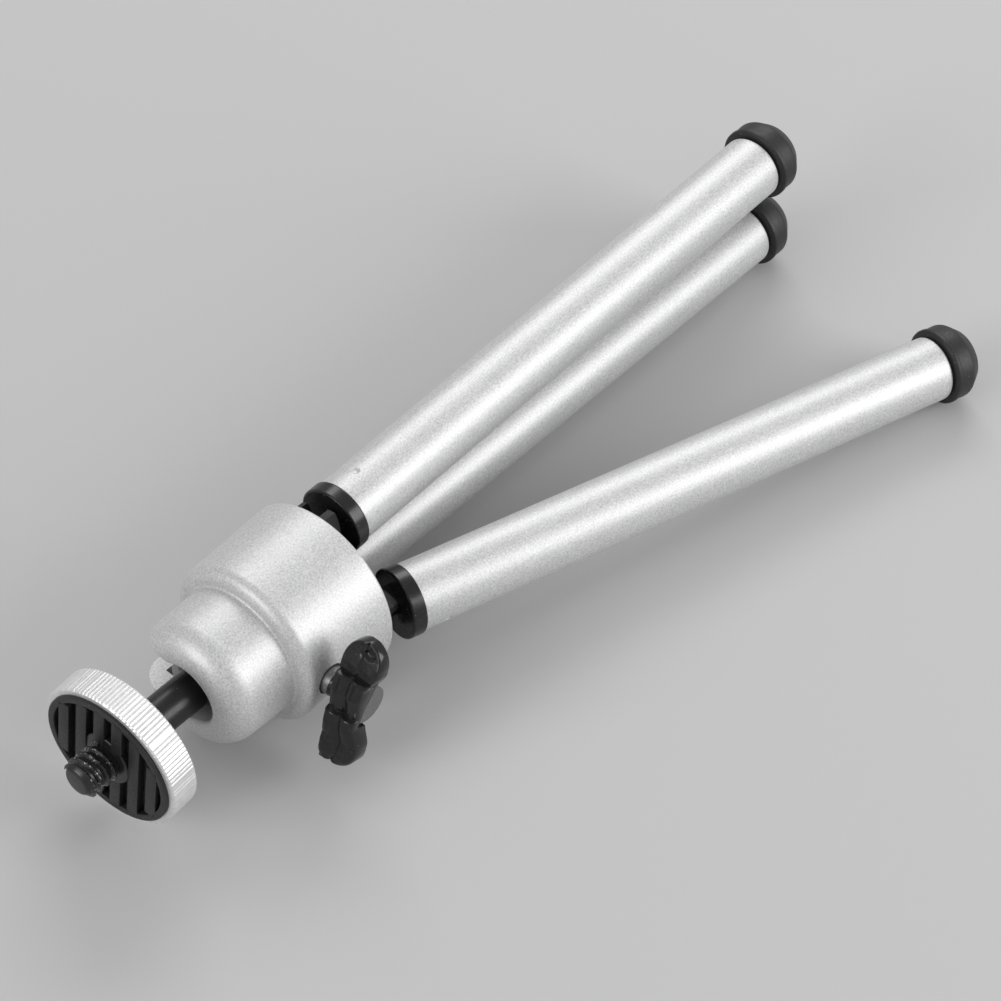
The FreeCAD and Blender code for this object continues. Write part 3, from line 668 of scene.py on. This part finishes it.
def winged_knob(sizes):
    """Curved wing with a stepped grip in two barrel-shaped columns, a recess and a mould gate."""
    bm = bmesh.new()
    bmesh.ops.create_grid(bm, x_segments=44, y_segments=170, size=1.0)
    made = bmesh.ops.extrude_face_region(bm, geom=bm.faces[:], use_keep_orig=True)["geom"]
    plain = {vert for vert in made if isinstance(vert, bmesh.types.BMVert)}
    half, edge = sizes.span / MM / 2 - 0.02, sizes.edge / MM
    for vert in bm.verts:
        u, y = vert.co.x, vert.co.y * half
        inner, outer = wing_edges(sizes, y)
        x = (inner + outer) / 2 + u * (outer - inner) / 2
        near = min((1 - abs(u)) * (outer - inner) / 2, half - abs(y), edge)
        drop = edge - (edge ** 2 - (edge - near) ** 2) ** 0.5
        height = along(PLAIN_SIDE, y) + drop if vert in plain else grip_height(u, x, y) - drop
        vert.co = (x, y, height)
    bmesh.ops.recalc_face_normals(bm, faces=bm.faces)
    gate = sizes.inner / MM + 0.3
    block(bm, (gate, -half - 0.35, 2.0), (gate + 0.9, -half + 0.4, 2.7), 0.15)
    return bm


def knob_hub(sizes):
    """Round hub behind the wing and its neck, drawn along Z and laid along the clamp screw."""
    start = sizes.inner / MM
    end = start + (sizes.width - sizes.saddle) / MM - 0.7
    hub, neck = sizes.hub / MM, sizes.neck / MM
    bm = lathe([(0, start - 1.1), (neck, start - 1.1), (neck, start), (hub, start), (hub, end),
                (0, end)], 64)
    rounded(bm, ring_edges(bm, hub, start) + ring_edges(bm, hub, end), 0.3)
    bmesh.ops.rotate(bm, verts=bm.verts, matrix=Matrix.Rotation(pi / 2, 3, "Y"))
    return bm


# Middle line of a tube in its leg's frame, in millimetres from the hinge along X
TUBE_X = -2.0


def rubber_foot(sizes, top):
    """Foot with a lip, a straight band and a tapered end; top is its height in the leg's frame."""
    radius, band, taper = sizes.radius / MM, sizes.band / MM, sizes.taper / MM
    tip, socket = sizes.tip / MM, sizes.socket / MM
    bm = lathe([(socket, top - 1.0), (socket, top), (radius, top), (radius, top - 0.8),
                (radius - 0.18, top - 1.0), (radius - 0.1, top - band),
                (tip, top - band - taper), (0, top - band - taper), (0, top - 1.0)], 96)
    rounded(bm, ring_edges(bm, radius, top) + ring_edges(bm, radius - 0.1, top - band)
            + ring_edges(bm, tip, top - band - taper), 0.35)
    return bm


# ---------------------------------------------------------------- stage

LAMP_DISTANCE = 0.9
# Each lamp: its setting, azimuth and elevation in degrees, width and height in metres
LAMPS = (("key", 308, 41, 0.6, 0.3), ("fill", 210, 26, 0.5, 0.5), ("front", 75, 28, 0.5, 0.3))


def direction(azimuth, elevation):
    """Unit vector from the part towards a place round it."""
    return Vector((sin(azimuth) * cos(elevation), -cos(azimuth) * cos(elevation), sin(elevation)))


def facing(back):
    """Turn of a lamp or camera that stands in a direction and looks back at the part."""
    return (-back).to_track_quat("-Z", "Y").to_matrix().to_4x4()


def soft_lamp(name, back, width, height, power):
    """Rectangular lamp that faces the part."""
    lamp = bpy.data.lights.new(name, "AREA")
    lamp.shape = "RECTANGLE"
    lamp.size, lamp.size_y = width, height
    lamp.energy = power
    holder = bpy.data.objects.new(name, lamp)
    holder.matrix_world = Matrix.Translation(back * LAMP_DISTANCE) @ facing(back)
    bpy.context.scene.collection.objects.link(holder)


def aimed_camera(settings):
    """Camera that looks at a point on the floor."""
    back = direction(settings.azimuth, settings.elevation)
    camera = bpy.data.cameras.new("Camera")
    camera.sensor_width = 36.0
    camera.lens = settings.lens
    camera.clip_start, camera.clip_end = 0.01, 20.0
    holder = bpy.data.objects.new("Camera", camera)
    target = Vector((settings.target_x, settings.target_y, 0))
    holder.matrix_world = (Matrix.Translation(target + back * settings.distance) @ facing(back)
                           @ Matrix.Rotation(settings.roll, 4, "Z"))
    bpy.context.scene.collection.objects.link(holder)
    bpy.context.scene.camera = holder


def pale_floor(settings):
    """Plain floor, which isn't part of the object."""
    bm = bmesh.new()
    bmesh.ops.create_grid(bm, x_segments=1, y_segments=1, size=3.0)
    mesh = bpy.data.meshes.new("floor")
    bm.to_mesh(mesh)
    bm.free()
    floor = bpy.data.objects.new("floor", mesh)
    bpy.context.scene.collection.objects.link(floor)
    finish = Finish("Floor", settings.floor, 0.0, 0.85)
    finish.set("Specular IOR Level", 0.1)
    mesh.materials.append(finish.material)


def plain_sky(settings):
    """Even light from all round."""
    world = bpy.data.worlds.new("Sky")
    world.use_nodes = True
    sky = world.node_tree.nodes["Background"]
    sky.inputs["Color"].default_value = (1.0, 1.0, 1.0, 1.0)
    sky.inputs["Strength"].default_value = settings.world
    bpy.context.scene.world = world


# ---------------------------------------------------------------- operators

class TRIPOD_OT_finishes(bpy.types.Operator):
    """Make the materials and give every solid its own finish"""
    bl_idname = "tripod.finishes"
    bl_label = "Finishes"

    def execute(self, context):
        settings = context.scene.tripod.finish
        flakes, grain = flake_group(), grain_group()
        silver_paint(settings, flakes)
        bright_metal(settings, grain)
        plain_steel(settings, grain)
        for name, low, high, dust in BLACKS:
            black_gloss(name, settings, grain, low, high, dust)
        worn_black(settings, grain)
        soft_rubber(settings, grain)
        grey_plastic(settings, grain)
        for name, nodes in NODE_FINISHES.items():
            for node in nodes:
                materials = frame["nodes"][node].data.materials
                materials.clear()
                materials.append(finish_named(name))
        return {"FINISHED"}


class TRIPOD_OT_platform(bpy.types.Operator):
    """Build the knurled disc, its ribbed pad and the camera screw"""
    bl_idname = "tripod.platform"
    bl_label = "Platform"

    def execute(self, context):
        settings = context.scene.tripod
        place = head_matrix()
        askew = place @ skew_matrix(settings.platform)
        piece(knurled_disc(settings.platform, settings.pad), "knurled_disc", askew, "platform",
              finish_named("Bright metal"), ("platform_disc",))
        piece(ribbed_pad(settings.pad, settings.platform), "ribbed_pad", askew, "platform",
              finish_named("Rubber"), ("rubber_pad",))
        piece(threaded_screw(settings.screw, settings.platform, settings.pad), "threaded_screw",
              place, "platform", finish_named("Worn black steel"),
              ("camera_screw",))
        return {"FINISHED"}


class TRIPOD_OT_knob(bpy.types.Operator):
    """Build the wing knob and its hub"""
    bl_idname = "tripod.knob"
    bl_label = "Wing knob"

    def execute(self, context):
        sizes = context.scene.tripod.knob
        place = knob_matrix(sizes.turn)
        piece(winged_knob(sizes), "knob_wing", place, "knob",
              finish_named("Knob plastic"), ("wing_knob",))
        piece(knob_hub(sizes), "knob_hub", place, "knob",
              finish_named("Knob plastic"))
        return {"FINISHED"}


class TRIPOD_OT_feet(bpy.types.Operator):
    """Build the three rubber feet"""
    bl_idname = "tripod.feet"
    bl_label = "Feet"

    def execute(self, context):
        sizes = context.scene.tripod.foot
        centre = Matrix.Translation((TUBE_X, 0, 0))
        for leg in LEGS:
            place = leg_matrix(leg)
            corners = [place.inverted() @ vert.co
                       for vert in frame["nodes"]["foot_" + leg].data.vertices]
            top = max(corner.z for corner in corners)
            piece(rubber_foot(sizes, top), "rubber_foot_" + leg, place @ centre,
                  "leg_" + leg + "_extension", finish_named("Rubber"), ("foot_" + leg,))
        return {"FINISHED"}


class TRIPOD_OT_stage(bpy.types.Operator):
    """Set the camera, the soft lamps, the sky and the floor"""
    bl_idname = "tripod.stage"
    bl_label = "Stage"

    def execute(self, context):
        settings = context.scene.tripod.stage
        context.scene.view_settings.view_transform = "Standard"
        aimed_camera(settings)
        plain_sky(settings)
        pale_floor(settings)
        for name, azimuth, elevation, width, height in LAMPS:
            soft_lamp(name.capitalize() + " lamp", direction(radians(azimuth), radians(elevation)),
                      width, height, getattr(settings, name))
        return {"FINISHED"}


class TRIPOD_PT_builder(bpy.types.Panel):
    """Lists the operators and the sizes of the tripod"""
    bl_idname = "TRIPOD_PT_builder"
    bl_label = "Pocket tripod"
    bl_space_type = "VIEW_3D"
    bl_region_type = "UI"
    bl_category = "Tripod"

    def draw(self, context):
        for operator in OPERATORS:
            self.layout.operator(operator.bl_idname)
        settings = context.scene.tripod
        for name in ("platform", "pad", "screw", "knob", "foot", "finish", "stage"):
            box = self.layout.box()
            box.label(text=name.capitalize())
            group = getattr(settings, name)
            for key in group.bl_rna.properties.keys():
                if key not in {"rna_type", "name"}:
                    box.prop(group, key)


GROUPS = (PlatformSizes, PadSizes, ScrewSizes, KnobSizes, FootSizes, Finishes, StageSettings,
          TripodSettings)
OPERATORS = (TRIPOD_OT_finishes, TRIPOD_OT_platform, TRIPOD_OT_knob, TRIPOD_OT_feet,
             TRIPOD_OT_stage)


def register():
    for cls in (*GROUPS, *OPERATORS, TRIPOD_PT_builder):
        bpy.utils.register_class(cls)
    bpy.types.Scene.tripod = bpy.props.PointerProperty(type=TripodSettings)


def unregister():
    del bpy.types.Scene.tripod
    for cls in reversed((*GROUPS, *OPERATORS, TRIPOD_PT_builder)):
        bpy.utils.unregister_class(cls)


def main():
    """Builds everything."""
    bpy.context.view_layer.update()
    register()
    for operator in OPERATORS:
        family, name = operator.bl_idname.split(".")
        getattr(getattr(bpy.ops, family), name)()


if __name__ == "__main__":
    main()
